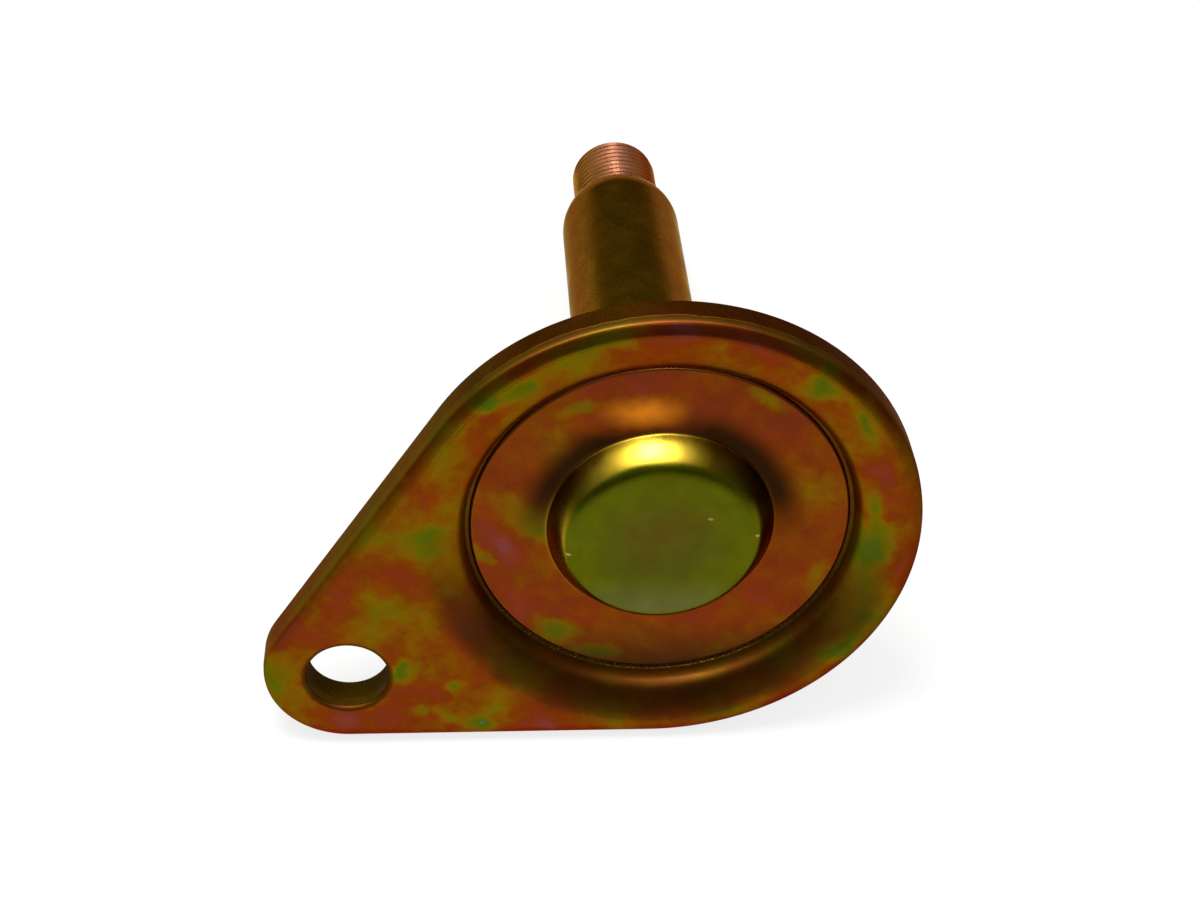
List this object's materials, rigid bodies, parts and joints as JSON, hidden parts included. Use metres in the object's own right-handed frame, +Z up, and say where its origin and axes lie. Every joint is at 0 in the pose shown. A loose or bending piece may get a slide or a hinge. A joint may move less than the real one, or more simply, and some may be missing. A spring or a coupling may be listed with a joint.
{
  "type": "spring bushing bolt",
  "caption": "Leaf spring bushing bolt: a headed pin with a fine-threaded end, seated in the pressed dish of a teardrop retaining plate with a bolt hole.",
  "frame": {"origin": "bottom centre of the bounding box of the part as it lies at rest on the straight lower edge of its plate and on the end of its thread", "axes": "+Z up, +Y the way the pin points seen from above (it also slopes down by about 16.5 degrees), +X from the small end of the plate with the bolt hole to the big end round the pin"},
  "size_m": [0.1018, 0.123, 0.078],
  "materials": {
    "plate_yellow_zinc": "stamped steel plate, yellow chromated zinc plating, glossy with iridescent blotches",
    "pin_yellow_zinc": "headed and turned steel pin, yellow chromated zinc plating, glossy"
  },
  "bodies": {
    "root": {"retaining_plate": "plate_yellow_zinc", "flanged_pin": "pin_yellow_zinc"}
  },
  "joints": []
}
